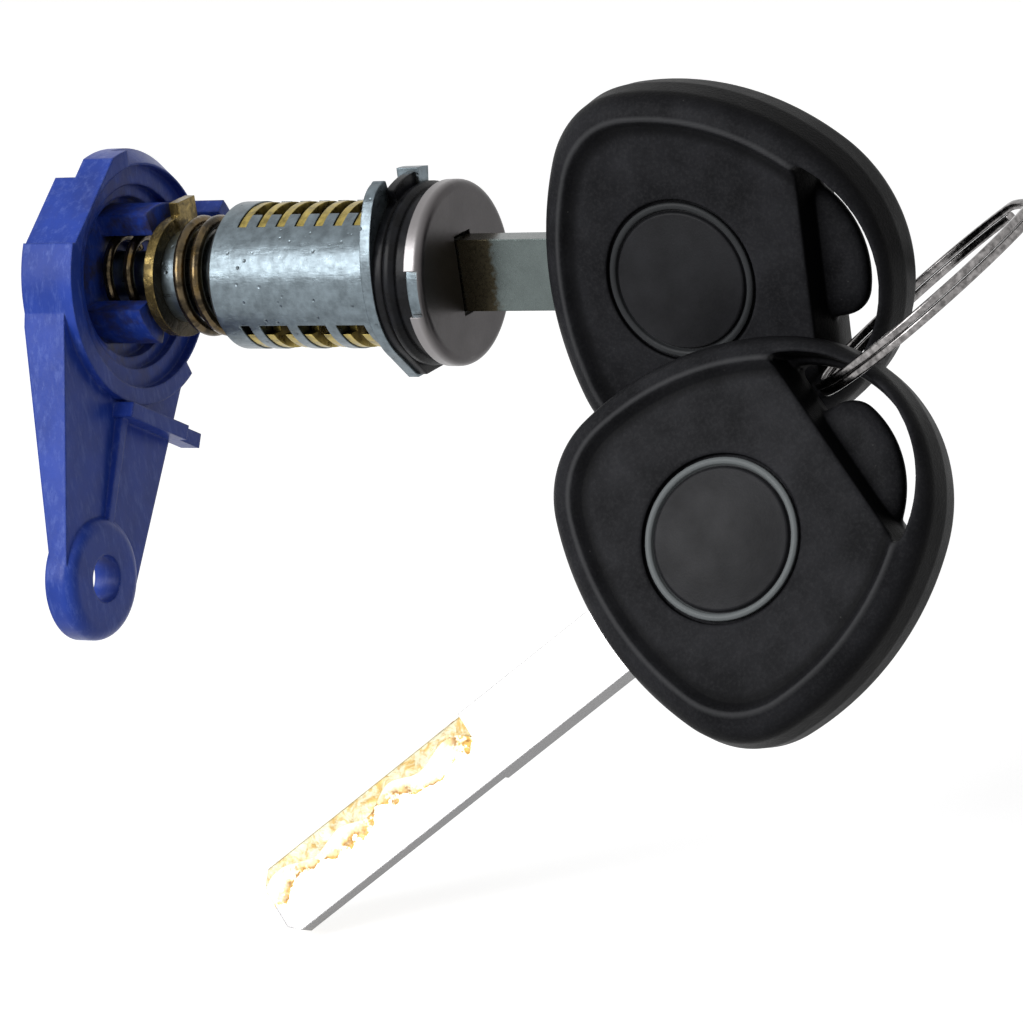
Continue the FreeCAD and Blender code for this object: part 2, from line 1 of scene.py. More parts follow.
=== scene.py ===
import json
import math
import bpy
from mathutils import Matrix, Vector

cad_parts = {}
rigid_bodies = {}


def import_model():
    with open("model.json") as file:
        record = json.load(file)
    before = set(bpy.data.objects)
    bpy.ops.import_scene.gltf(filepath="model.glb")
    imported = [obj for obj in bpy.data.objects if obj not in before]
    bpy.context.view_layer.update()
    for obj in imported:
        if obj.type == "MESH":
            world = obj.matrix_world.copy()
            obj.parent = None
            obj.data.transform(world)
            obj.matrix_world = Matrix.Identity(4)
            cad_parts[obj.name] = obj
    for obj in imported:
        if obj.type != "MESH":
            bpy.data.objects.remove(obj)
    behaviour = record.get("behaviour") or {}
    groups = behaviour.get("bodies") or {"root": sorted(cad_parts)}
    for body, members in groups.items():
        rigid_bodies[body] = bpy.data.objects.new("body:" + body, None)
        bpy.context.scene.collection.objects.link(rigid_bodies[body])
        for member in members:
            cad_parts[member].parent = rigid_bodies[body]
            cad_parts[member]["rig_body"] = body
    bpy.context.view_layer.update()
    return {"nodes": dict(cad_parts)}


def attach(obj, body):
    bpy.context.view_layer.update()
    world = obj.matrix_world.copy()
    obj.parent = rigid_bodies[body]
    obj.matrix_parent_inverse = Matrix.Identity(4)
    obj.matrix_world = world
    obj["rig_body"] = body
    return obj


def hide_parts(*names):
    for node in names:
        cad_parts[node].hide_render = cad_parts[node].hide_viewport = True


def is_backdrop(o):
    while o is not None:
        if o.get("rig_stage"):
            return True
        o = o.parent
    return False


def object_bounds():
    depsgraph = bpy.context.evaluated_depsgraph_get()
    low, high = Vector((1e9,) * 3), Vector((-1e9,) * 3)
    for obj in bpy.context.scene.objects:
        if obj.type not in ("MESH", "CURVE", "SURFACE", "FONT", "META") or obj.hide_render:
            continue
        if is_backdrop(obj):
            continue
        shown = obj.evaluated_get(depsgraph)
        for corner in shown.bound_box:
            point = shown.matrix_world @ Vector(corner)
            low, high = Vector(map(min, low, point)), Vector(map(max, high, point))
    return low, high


bl_info = {
    "name": "Door lock cylinder with keys",
    "version": (1, 0, 0),
    "blender": (4, 5, 0),
    "location": "3D View > Sidebar > Lock set",
    "description": "Key heads, badges, springs and finishes for a door lock cylinder and its two keys",
    "category": "Add Mesh",
}

import bmesh
import bpy
import numpy as np
from bpy.props import FloatProperty, FloatVectorProperty, PointerProperty
from bpy.types import Operator, Panel, PropertyGroup
from mathutils import Matrix, Vector

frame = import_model()

MM = 0.001

# Where each key lies: its badge's centre, its long axis towards the head, and its cross axis.
KEY_PLACES = {
    "key": ((31.68, 0.0, 0.0), (1.0, 0.0, 0.0), (0.0, 0.0, 1.0)),
    "spare": ((41.77, -18.439, -20.903), (0.7767, 0.3084, 0.5493), (-0.6262, 0.2833, 0.7264)),
}
KEY_BODIES = {"key": "key", "spare": "spare_key"}


def key_matrix(which):
    """The placement of a key's own frame, in metres: columns are its long, thick and cross axes."""
    centre, along, across = (np.array(v) for v in KEY_PLACES[which])
    along = along / np.linalg.norm(along)
    thick = np.cross(across, along)
    thick = thick / np.linalg.norm(thick)
    across = np.cross(along, thick)
    matrix = np.eye(4)
    matrix[:3, 0], matrix[:3, 1], matrix[:3, 2] = along, thick, across
    matrix[:3, 3] = centre * MM
    return matrix


# Settings


def length(label, description, default):
    """A size in millimetres."""
    return FloatProperty(name=label, description=description, default=default, min=0.0)


def colour(label, description, default):
    """A colour in linear values."""
    return FloatVectorProperty(name=label, description=description, default=default,
                               subtype="COLOR", min=0.0, max=1.0)


class HeadSettings(PropertyGroup):
    base: length("Base", "Distance from the badge to the arched base", 14.9)
    base_radius: length("Base radius", "Radius of the arched base", 32.8)
    nose: length("Nose", "Distance from the badge to the nose", 21.2)
    nose_radius: length("Nose radius", "Radius of the nose", 15.2)
    half_width: length("Half width", "Half of the head's width", 18.05)
    widest: FloatProperty(name="Widest", description="Where the head is widest", default=-2.0)
    corner: length("Corner", "Rounding of the two base corners", 3.7)
    half_thick: length("Half thickness", "Half of the head's thickness", 4.65)
    rim: length("Rim", "Rounding of the rim", 2.2)
    border: length("Border", "Width of the raised border", 2.6)
    recess: length("Recess", "Depth of the field inside the border", 0.55)
    step: length("Step", "Width of the slope from the border to the field", 1.0)
    cell: length("Cell", "Spacing of the points that the head is worked out on", 0.22)
    badge: length("Badge radius", "Radius of the badge insert", 7.45)
    scoop_edge: length("Scoop edge", "Straight side of the scoop", 12.9)
    scoop_far: length("Scoop far side", "Far side of the scoop", 20.0)
    slot_edge: length("Slot edge", "Straight side of the slot", 13.6)
    slot_far: length("Slot far side", "Far side of the slot", 19.3)
    ledge: length("Ledge", "Half thickness of the rounded ledge in the slot", 1.15)


class WireSettings(PropertyGroup):
    torsion_wire: length("Torsion wire", "Thickness of the torsion spring's wire", 1.2)
    thrust_wire: length("Thrust wire", "Thickness of the thrust spring's wire", 1.05)
    ring_radius: length("Ring radius", "Middle radius of the split ring", 13.07)
    ring_axial: length("Ring wire width", "Width of the ring's flat wire", 0.74)
    ring_radial: length("Ring wire depth", "Depth of the ring's flat wire", 0.85)
    ring_gap: length("Ring gap", "Gap between the ring's two turns", 0.04)


class FinishSettings(PropertyGroup):
    plastic: colour("Key plastic", "Black moulded plastic", (0.0150, 0.0152, 0.0172))
    lever: colour("Lever plastic", "Blue moulded plastic", (0.020, 0.058, 0.37))
    zinc: colour("Zinc", "Cast zinc", (0.155, 0.190, 0.212))
    cap: colour("Cap", "Satin steel", (0.072, 0.067, 0.068))
    seal: colour("Seal", "Black rubber", (0.010, 0.010, 0.012))
    wafer: colour("Wafer", "Brass", (0.36, 0.28, 0.075))
    spring: colour("Spring", "Oiled spring steel", (0.066, 0.049, 0.027))
    plate: colour("Drive plate", "Yellow passivated steel", (0.22, 0.16, 0.055))
    ring: colour("Ring", "Polished steel", (0.27, 0.258, 0.255))
    nickel: colour("Blade", "Nickel plate", (0.40, 0.395, 0.40))
    track: colour("Track", "Bare brass in the milled track", (0.42, 0.25, 0.07))
    # The grease colour also serves as painted shade in corners and hollows.
    grease: colour("Grease", "Old grease", (0.045, 0.032, 0.012))


class StageSettings(PropertyGroup):
    floor: colour("Floor", "Plain pale floor", (0.52, 0.52, 0.52))
    lens: FloatProperty(name="Lens", description="Focal length", default=163.78, unit="CAMERA")
    key_power: FloatProperty(name="Key light", description="Power of the main light",
                             default=2.7, unit="POWER")
    fill_power: FloatProperty(name="Fill light", description="Power of the second light",
                              default=0.15, unit="POWER")
    ambient: FloatProperty(name="Ambient", description="Strength of the even light", default=0.24)


# Mesh helpers


def add_piece(name, points, faces, material, body, stands_for=()):
    """Makes a mesh object from points in millimetres and faces, and rides it on a body."""
    mesh = bpy.data.meshes.new(name)
    mesh.from_pydata((points * MM).tolist(), [], faces.tolist())
    mesh.validate()
    mesh.shade_smooth()
    mesh.materials.append(material)
    piece = bpy.data.objects.new(name, mesh)
    bpy.context.scene.collection.objects.link(piece)
    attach(piece, body)
    if stands_for:
        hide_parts(*stands_for)
    return piece


def grid_quads(rows, columns, closed_rows=False, closed_columns=True):
    """Quads over a grid whose point (i, j) has the number i * columns + j."""
    i, j = np.meshgrid(np.arange(rows if closed_rows else rows - 1),
                       np.arange(columns if closed_columns else columns - 1), indexing="ij")
    over_i, over_j = (i + 1) % rows, (j + 1) % columns
    return np.stack([i * columns + j, i * columns + over_j,
                     over_i * columns + over_j, over_i * columns + j], -1).reshape(-1, 4)


def tube(path, side, section):
    """A section carried along a path.

    Point (i, j) is path(i) + section_j.x * side(i) + section_j.y * (tangent(i) x side(i)),
    with the section drawn in over the first and last rows so that both ends close.
    """
    tangent = np.gradient(path, axis=0)
    tangent /= np.linalg.norm(tangent, axis=1)[:, None]
    side = side - tangent * np.sum(side * tangent, 1)[:, None]
    side /= np.linalg.norm(side, axis=1)[:, None]
    other = np.cross(tangent, side)
    ends = np.array([0.0, 0.6, 0.87, 1.0])
    rows = np.concatenate([np.zeros(3, int), np.arange(len(path)), np.full(3, len(path) - 1)])
    swell = np.concatenate([ends[:3], np.ones(len(path)), ends[2::-1]])
    points = (path[rows][:, None] + swell[:, None, None] * (
        section[None, :, :1] * side[rows][:, None] + section[None, :, 1:] * other[rows][:, None]))
    return points.reshape(-1, 3), grid_quads(len(rows), len(section))


def helix(x_start, pitch, turns, radius, start_degrees, steps=72):
    """A helix about the X axis: x falls by the pitch each turn from the starting angle on."""
    angle = np.linspace(0.0, 2 * np.pi * turns, int(steps * turns))
    turn = angle - math.radians(start_degrees)
    side = np.stack([0 * turn, np.sin(turn), np.cos(turn)], 1)
    path = side * radius
    path[:, 0] = x_start - pitch * angle / (2 * np.pi)
    return path, side


def round_section(radius, count=20, power=2.0, wide=1.0):
    """A closed section: a superellipse with the given power, wide times as broad as it is deep."""
    a = np.linspace(0, 2 * np.pi, count, endpoint=False)
    c, s = np.cos(a), np.sin(a)
    squash = (np.abs(c) ** power + np.abs(s) ** power) ** (-1 / power)
    return np.stack([radius * c * squash, radius * wide * s * squash], 1)


def turned(profile, count=160):
    """A profile of (radius, height) turned about the Y axis: (r cos a, h, r sin a)."""
    a = np.linspace(0, 2 * np.pi, count, endpoint=False)
    r, h = profile[:, :1], profile[:, 1:]
    points = np.stack([r * np.cos(a), h + 0 * a, r * np.sin(a)], -1)
    return points.reshape(-1, 3), grid_quads(len(profile), count)


def placed(points, matrix):
    """Points in millimetres moved by a placement in metres."""
    return points @ matrix[:3, :3].T + matrix[:3, 3] / MM


# Key heads

# Half lengths of the scoop and the slot, and half of the web that the scoop's ramp runs down to.
SCOOP_HALF, SLOT_HALF, WEB_HALF = 11.0, 10.0, 0.8
# The badge's seat: how deep it is, and the gap that it leaves round the badge.
SEAT_DEPTH, SEAT_GAP = 1.1, 0.3
# How far the faces bulge in the middle, and the radius where the bulge ends.
DOME_RISE, DOME_REACH = 0.16, 15
# The lip on the border's inner edge: height, middle and width.
LIP_HEIGHT, LIP_MIDDLE, LIP_WIDTH = 0.20, 0.05, 0.38
# The sides lean in by this share of the height.
DRAFT = 0.10
# The ledge in the slot: how far it stops short of the slot's arc, where it ends on the ring's
# side, how round its corner is and how far its edge runs out.
LEDGE_SHORT, LEDGE_END, LEDGE_CORNER, LEDGE_EDGE = 1.6, 4.6, 2.5, 1.8
# Where a painted highlight runs along the border's crest and painted shade lies in the trough inside
# it: middle and width.
CREST, TROUGH = (-0.1, 0.30), (1.0, 0.65)


def soft_most(a, b, soft):
    """The larger of two values, with a round of the given size where they cross."""
    h = np.clip(soft - np.abs(a - b), 0, None)
    return np.maximum(a, b) + h * h / (4 * soft)


def ease(x):
    """A smooth step from 0 to 1."""
    x = np.clip(x, 0, 1)
    return x * x * (3 - 2 * x)


def arc_radius(rise, half):
    """The radius of an arc that rises this far over a chord of this half length."""
    return (half * half + rise * rise) / (2 * rise)


def field_distance(s, t, edge, far, half):
    """Signed distance to a field with one straight side at s = edge and an arc through s = far."""
    radius = arc_radius(far - edge, half)
    return soft_most(np.hypot(s - far + radius, t) - radius, edge - s, 1.2)


def outline_distance(s, t, shape):
    """Signed distance to a key head's outline, where a base, two sides and a nose overlap."""
    nose_c = shape.nose - shape.nose_radius
    run = nose_c - shape.widest
    lift = shape.half_width - shape.nose_radius
    side_r = (run * run / lift + shape.half_width + shape.nose_radius) / 2
    side_c = shape.half_width - side_r
    along = (nose_c - shape.widest) / math.hypot(nose_c - shape.widest, side_c)
    join = nose_c + along * shape.nose_radius
    side = np.hypot(s - shape.widest, np.abs(t) - side_c) - side_r
    nose = np.hypot(s - nose_c, t) - shape.nose_radius
    base = np.hypot(s - shape.base_radius + shape.base, t) - shape.base_radius
    return soft_most(np.where(s < join, side, nose), base, shape.corner)


def border_highlight_and_shade(points, shape):
    """Where light and shade are painted on the border: up to 1 for a painted highlight along its
    crest, down to -1 for painted shade in the trough inside it.
    """
    inward = -outline_distance(points[:, 0], points[:, 2], shape) - shape.border
    crest, trough = (np.exp(-((inward - middle) / width) ** 2) for middle, width in (CREST, TROUGH))
    near_face = np.abs(points[:, 1]) > shape.half_thick - 1.0
    return (crest - trough) * near_face


def head_distance(s, n, t, shape):
    """Signed distance to a key head, below zero inside it.

    The rim rounds from the outline to the faces, the faces sink behind a raised border, and the
    badge's seat, the scoop and the slot are taken away with soft lips. A rounded ledge stands
    at mid thickness in the slot: it stops short of the slot's arc and of the ring's end.
    """
    flat = outline_distance(s, t, shape)
    depth = np.abs(n)
    inward = -flat - shape.border
    lip = LIP_HEIGHT * np.exp(-((inward + LIP_MIDDLE) / LIP_WIDTH) ** 2)
    radial = np.hypot(s, t)
    dome = DOME_RISE * np.clip(1 - (radial / DOME_REACH) ** 2, 0, 1)
    face = shape.half_thick - 0.1 + lip - shape.recess * ease(inward / shape.step) + dome
    wall = flat + DRAFT * depth + shape.rim
    top = depth - face + shape.rim
    body = np.minimum(np.maximum(wall, top), 0) - shape.rim
    body = body + np.hypot(np.clip(wall, 0, None), np.clip(top, 0, None))
    floor = shape.half_thick - SEAT_DEPTH
    seat = np.maximum(radial - shape.badge - SEAT_GAP, floor - depth)
    body = soft_most(body, -seat, 0.22)
    reach = (s - shape.scoop_edge) / (shape.slot_edge - shape.scoop_edge)
    ramp = shape.half_thick + (WEB_HALF - shape.half_thick) * np.clip(reach, 0, 1)
    scoop = field_distance(s, t, shape.scoop_edge, shape.scoop_far, SCOOP_HALF)
    scoop = soft_most(scoop, (ramp - depth) * 0.35, 0.3)
    body = soft_most(body, -scoop, 0.5)
    slot = field_distance(s, t, shape.slot_edge, shape.slot_far, SLOT_HALF)
    body = soft_most(body, -slot, 0.35)
    arc_r = arc_radius(shape.slot_far - shape.slot_edge, SLOT_HALF)
    arc = np.hypot(s - shape.slot_far + arc_r, t) - arc_r + LEDGE_SHORT
    plan = soft_most(arc, -t - LEDGE_END, LEDGE_CORNER)
    over = np.clip(plan + LEDGE_EDGE, 0, None) / LEDGE_EDGE
    ledge = (np.sqrt(over ** 2 + (n / shape.ledge) ** 2) - 1) * shape.ledge
    return -soft_most(-body, -ledge, 0.5)


def surface_net(distance, low, high, cell):
    """A closed surface where a distance function is zero.

    Each cell of a grid that the surface crosses gets one point, at the mean of its edge
    crossings, and each grid edge that it crosses gets one quad. The points then move along
    the distance's slope onto the surface.
    """
    axes = [np.arange(a, b + cell, cell) for a, b in zip(low, high)]
    grid = np.meshgrid(*axes, indexing="ij")
    value = distance(*grid)
    inside = value < 0
    shape = np.array(value.shape) - 1
    total = np.zeros(tuple(shape) + (3,))
    count = np.zeros(tuple(shape))
    crossings = []
    for axis in range(3):
        first = [slice(None)] * 3
        second = [slice(None)] * 3
        first[axis], second[axis] = slice(0, -1), slice(1, None)
        a, b = value[tuple(first)], value[tuple(second)]
        cross = inside[tuple(first)] != inside[tuple(second)]
        share = np.where(cross, a / np.where(cross, a - b, 1), 0)
        others = [k for k in range(3) if k != axis]
        for da in (0, 1):
            for db in (0, 1):
                part = [slice(None)] * 3
                part[others[0]] = slice(da, da + shape[others[0]])
                part[others[1]] = slice(db, db + shape[others[1]])
                hit = cross[tuple(part)]
                offset = np.zeros(3)
                offset[others[0]], offset[others[1]] = da, db
                total += hit[..., None] * offset
                total[..., axis] += share[tuple(part)]
                count += hit
        crossings.append((cross, inside[tuple(first)], others))
    used = count > 0
    number = np.full(tuple(shape), -1)
    number[used] = np.arange(used.sum())
    cells = np.argwhere(used)
    points = (cells + total[used] / count[used][:, None]) * cell + np.array(low)
    quads = []
    for axis, (cross, start_inside, others) in enumerate(crossings):
        at = np.argwhere(cross)
        keep = (at[:, others[0]] > 0) & (at[:, others[1]] > 0)
        keep &= (at[:, others[0]] < shape[others[0]]) & (at[:, others[1]] < shape[others[1]])
        at = at[keep]
        corner = []
        for da, db in ((1, 1), (0, 1), (0, 0), (1, 0)):
            c = at.copy()
            c[:, others[0]] -= da
            c[:, others[1]] -= db
            corner.append(number[c[:, 0], c[:, 1], c[:, 2]])
        quad = np.stack(corner, 1)
        flip = ~start_inside[at[:, 0], at[:, 1], at[:, 2]]
        if axis == 1:
            flip = ~flip
        quad[flip] = quad[flip][:, ::-1]
        quads.append(quad)
    step = cell * 0.25
    for _ in range(2):
        here = distance(*points.T)
        slope = np.stack([(distance(*(points + step * np.eye(3)[k]).T)
                           - distance(*(points - step * np.eye(3)[k]).T)) / (2 * step)
                          for k in range(3)], 1)
        move = here / np.maximum(np.sum(slope * slope, 1), 0.2)
        points = points - np.clip(move, -cell * 0.5, cell * 0.5)[:, None] * slope
    return points, np.concatenate(quads)


# Finishes


class Finish:
    """One procedural material, built node by node on the object's own coordinates."""

    def __init__(self, name, place=None):
        self.material = bpy.data.materials.new(name)
        self.material.use_nodes = True
        self.tree = self.material.node_tree
        self.skin = self.tree.nodes["Principled BSDF"]
        coords = self.tree.nodes.new("ShaderNodeTexCoord")
        turn = self.tree.nodes.new("ShaderNodeMapping")
        if place is not None:
            back = Matrix(place.tolist()).inverted()
            turn.inputs["Location"].default_value = back.to_translation()
            turn.inputs["Rotation"].default_value = back.to_euler()
        self.tree.links.new(coords.outputs["Object"], turn.inputs["Vector"])
        self.where = turn.outputs[0]

    def add(self, kind, inputs, out=0, **settings):
        """A node with settings, whose inputs are sockets or plain values."""
        node = self.tree.nodes.new("ShaderNode" + kind)
        for key, value in settings.items():
            setattr(node, key, value)
        for key, value in inputs.items():
            if isinstance(value, bpy.types.NodeSocket):
                self.tree.links.new(value, node.inputs[key])
            else:
                node.inputs[key].default_value = value
        return node.outputs[out]

    def noise(self, size, detail=3.0, rough=0.55, stretch=(1, 1, 1), twist=0.0):
        """Noise whose lumps are about size millimetres across."""
        at = self.add("VectorMath", {0: self.where, 1: stretch}, operation="MULTIPLY")
        return self.add("TexNoise", {"Vector": at, "Scale": 1 / (size * MM), "Detail": detail,
                                     "Roughness": rough, "Distortion": twist})

    def flecks(self, size):
        """Round flecks about size millimetres apart: the distance to the nearest centre."""
        return self.add("TexVoronoi", {"Vector": self.where, "Scale": 1 / (size * MM)})

    def span(self, value, low, high, to_low=0.0, to_high=1.0):
        """A value spread from one range onto another, and held at its ends."""
        return self.add("MapRange", {"Value": value, "From Min": low, "From Max": high,
                                     "To Min": to_low, "To Max": to_high})

    def sum(self, kind, a, b):
        """Plain arithmetic on two values."""
        return self.add("Math", {0: a, 1: b}, operation=kind)

    def blend(self, share, a, b):
        """A colour between two colours."""
        def four(c):
            return c if isinstance(c, bpy.types.NodeSocket) else (*c[:3], 1.0)
        return self.add("Mix", {0: share, 6: four(a), 7: four(b)}, out=2, data_type="RGBA")

    def axis(self, which):
        """One coordinate in millimetres: 0 along, 1 through, 2 across."""
        parts = self.tree.nodes.new("ShaderNodeSeparateXYZ")
        self.tree.links.new(self.where, parts.inputs[0])
        return self.sum("MULTIPLY", parts.outputs[which], 1 / MM)

    def away(self, kept):
        """Distance in millimetres from the origin, over the kept coordinates alone."""
        flat = self.add("VectorMath", {0: self.where, 1: kept}, operation="MULTIPLY")
        far = self.add("VectorMath", {0: flat}, out=1, operation="LENGTH")
        return self.sum("MULTIPLY", far, 1 / MM)

    def hollow(self, reach):
        """How open the surface is to its surroundings, from 0 in a corner to 1."""
        return self.add("AmbientOcclusion", {"Distance": reach * MM}, out=1, samples=6)

    def finish(self, base, rough, metal=0.0, bumps=(), bevel=0.0, **sockets):
        """Joins colour, roughness and relief to the shader and returns the material."""
        normal = None
        if bevel:
            normal = self.add("Bevel", {"Radius": bevel * MM}, samples=4)
        for height, relief in bumps:
            inputs = {"Height": height, "Distance": relief * MM, "Strength": 1.0}
            if normal is not None:
                inputs["Normal"] = normal
            normal = self.add("Bump", inputs)
        for key, value in {"Base Color": base, "Roughness": rough}.items():
            if isinstance(value, bpy.types.NodeSocket):
                self.tree.links.new(value, self.skin.inputs[key])
            elif key == "Base Color":
                self.skin.inputs[key].default_value = (*value[:3], 1.0)
            else:
                self.skin.inputs[key].default_value = value
        if normal is not None:
            self.tree.links.new(normal, self.skin.inputs["Normal"])
        self.skin.inputs["Metallic"].default_value = metal
        for key, value in sockets.items():
            self.skin.inputs[key.replace("_", " ")].default_value = value
        return self.material


# The point attribute that carries the border's painted highlight and painted shade.
BORDER_SHADING_NAME = "border_highlight_and_shade"
# Brass laid bare on the blades: polished, dull, and dark where the plate has flaked off.
CREAM, GOLD, FLAKED = (0.64, 0.60, 0.43), (0.50, 0.34, 0.12), (0.20, 0.10, 0.03)
# Zones of a blade in millimetres, each given by the two values that its mask runs between.
# Along the blade from the badge: the track, the worn side, the tip that gets painted shade and the
# dark band before the cap, partly grease and partly painted shade.
TRACK_START, WORN_START, TIP = (-30.6, -31.0), (-30.9, -31.3), (-55.4, -56.2)
MOUTH_DARK_NEAR, MOUTH_DARK_FAR = (-21.2, -21.8), (-27.0, -25.0)
# Across the blade and through it: the track's sides, its depth and the edges that get painted shade.
TRACK_SIDE, TRACK_DEPTH, EDGE_SHADE = (3.5, 3.4), (1.22, 1.12), (3.2, 3.5)


def shade(colour, factor):
    """A colour made lighter or darker."""
    return tuple(min(1.0, c * factor) for c in colour[:3])


def moulded_black(name, place, colours):
    """Black moulded plastic: a fine spark-eroded grain and pale dust, with painted shade on the rim, a
    painted highlight along the border's crest and painted shade in the trough inside it.

    The rim is told from the faces by the angle to the key's own thick axis, as it lies at rest.
    """
    f = Finish(name, place)
    grain = f.noise(0.30, 4, 0.65)
    cloud = f.noise(6.0, 4, 0.6)
    dust = f.span(f.flecks(0.9), 0.10, 0.04)
    dust = f.sum("MULTIPLY", dust, f.span(f.noise(2.4), 0.60, 0.72))
    base = f.blend(f.span(cloud, 0.35, 0.7), shade(colours.plastic, 0.72),
                   shade(colours.plastic, 1.75))
    base = f.blend(f.span(grain, 0.45, 0.75, 0.0, 0.22), base, (0.07, 0.07, 0.074))
    base = f.blend(f.sum("MULTIPLY", dust, 0.5), base, (0.22, 0.22, 0.21))
    # Painted shade: the rim, told by its normal, is painted darker than the faces.
    normal = f.add("NewGeometry", {}, out="Normal")
    facing = f.add("VectorMath", {0: normal, 1: place[:3, 1]}, out="Value", operation="DOT_PRODUCT")
    flat = f.span(f.sum("ABSOLUTE", facing, 0.0), 0.25, 0.85)
    base = f.blend(flat, shade(colours.plastic, 0.15), base)
    # Painted shade in the trough inside the border and a painted highlight along its crest.
    border = f.add("Attribute", {}, out="Fac", attribute_name=BORDER_SHADING_NAME)
    base = f.blend(f.span(border, -0.15, -1.0, 0.0, 0.75), base, shade(colours.plastic, 0.2))
    base = f.blend(f.span(border, 0.2, 1.0, 0.0, 0.6), base, (0.085, 0.086, 0.090))
    rough = f.span(cloud, 0.3, 0.7, 0.46, 0.36)
    return f.finish(base, rough, bumps=((grain, 0.045), (cloud, 0.06)), Specular_IOR_Level=0.03)


def badge_black(name, place, colours, ring_sheen):
    """The badge insert: a satin blank disc inside an edge ring, which is made smoother and painted
    lighter by a share given per key: the lighter colour is a painted sheen.
    """
    f = Finish(name, place)
    radius = f.away((1, 0, 1))
    # Painted sheen: the edge ring is painted lighter, as strongly as each key's share.
    ring = f.sum("MULTIPLY", f.span(radius, 6.68, 6.76), f.span(radius, 7.5, 7.4))
    ring = f.sum("MULTIPLY", ring, ring_sheen)
    grain = f.noise(0.25, 4, 0.6)
    cloud = f.noise(5.0, 4, 0.6)
    base = f.blend(f.span(cloud, 0.35, 0.7), shade(colours.plastic, 0.75),
                   shade(colours.plastic, 1.4))
    base = f.blend(ring, base, (0.17, 0.185, 0.19))
    rough = f.sum("SUBTRACT", f.span(cloud, 0.3, 0.7, 0.46, 0.38), f.sum("MULTIPLY", ring, 0.12))
    return f.finish(base, rough, bumps=((grain, 0.02),), Specular_IOR_Level=0.10)


def cast_zinc(colours):
    """Cast zinc: a mottled skin, small pits and fine drag marks, with painted shade in the grease
    colour in its corners.
    """
    f = Finish("cast_zinc")
    skin = f.noise(1.1, 5, 0.6)
    drag = f.noise(0.5, 3, 0.6, stretch=(0.25, 1.5, 1.5))
    pits = f.span(f.flecks(1.3), 0.16, 0.04)
    base = f.blend(f.span(skin, 0.35, 0.68), shade(colours.zinc, 0.72), shade(colours.zinc, 1.18))
    base = f.blend(f.sum("MULTIPLY", pits, 0.5), base, shade(colours.zinc, 0.35))
    # Painted shade: the grease colour laid into corners and recesses by the occlusion mask.
    corner_shade = f.span(f.hollow(1.6), 0.62, 0.25)
    base = f.blend(f.sum("MULTIPLY", corner_shade, 0.85), base, colours.grease)
    rough = f.span(drag, 0.3, 0.7, 0.26, 0.37)
    return f.finish(base, rough, metal=0.92, bevel=0.18,
                    bumps=((skin, 0.035), (drag, 0.02), (f.sum("MULTIPLY", pits, -1.0), 0.06)))


def satin_cap(colours):
    """Satin steel: a fine spun grain on the face, and the skirt painted lighter than the face as a
    painted reflection.
    """
    f = Finish("satin_cap")
    spun = f.noise(0.22, 2, 0.5, stretch=(0.6, 1, 1))
    cloud = f.noise(4.0, 3, 0.5)
    # Painted reflection: the skirt behind the face is painted lighter than the face.
    skirt = f.span(f.axis(0), 6.25, 5.5)
    base = f.blend(f.span(cloud, 0.3, 0.7), shade(colours.cap, 0.85), shade(colours.cap, 1.1))
    base = f.blend(skirt, base, (0.25, 0.238, 0.24))
    specks = f.span(f.flecks(2.6), 0.05, 0.03)
    base = f.blend(f.sum("MULTIPLY", specks, 0.7), base, (0.03, 0.03, 0.03))
    rough = f.span(spun, 0.3, 0.7, 0.30, 0.40)
    return f.finish(base, rough, metal=0.95, bumps=((spun, 0.006),), bevel=0.12)


def rubber_seal(colours):
    """Black rubber, smooth and lightly oiled."""
    f = Finish("rubber_seal")
    cloud = f.noise(1.6, 4, 0.6)
    base = f.blend(f.span(cloud, 0.4, 0.75), shade(colours.seal, 0.5), (0.014, 0.015, 0.018))
    return f.finish(base, f.span(cloud, 0.3, 0.7, 0.20, 0.38), bumps=((cloud, 0.04),), bevel=0.35,
                    Specular_IOR_Level=0.12)


def wafer_brass(colours):
    """Stamped brass, with painted shade in the grease colour where it is hemmed in."""
    f = Finish("wafer_brass")
    film = f.noise(1.0, 4, 0.6)
    base = f.blend(f.span(film, 0.35, 0.65), shade(colours.wafer, 0.55), shade(colours.wafer, 1.35))
    # Painted shade: a dark grease colour laid into hollows by the occlusion mask.
    base = f.blend(f.span(f.hollow(2.0), 0.60, 0.22, 0.0, 0.95), base, shade(colours.grease, 0.5))
    return f.finish(base, f.span(film, 0.3, 0.7, 0.22, 0.42), metal=0.9, bevel=0.1,
                    bumps=((film, 0.03),))


def oiled_steel(name, steel, colours):
    """Steel under an uneven film of old grease, brown where it lies thick."""
    f = Finish(name)
    film = f.noise(1.7, 5, 0.62, twist=0.6)
    thick = f.span(film, 0.46, 0.60)
    base = f.blend(thick, shade(steel, 1.5), shade(steel, 0.45))
    brown = f.blend(f.noise(0.8), colours.grease, (0.22, 0.13, 0.03))
    base = f.blend(f.sum("MULTIPLY", f.span(f.noise(2.6, 4), 0.5, 0.66), 0.8), base, brown)
    return f.finish(base, f.span(film, 0.35, 0.65, 0.10, 0.28), metal=0.85,
                    bumps=((film, 0.08),))


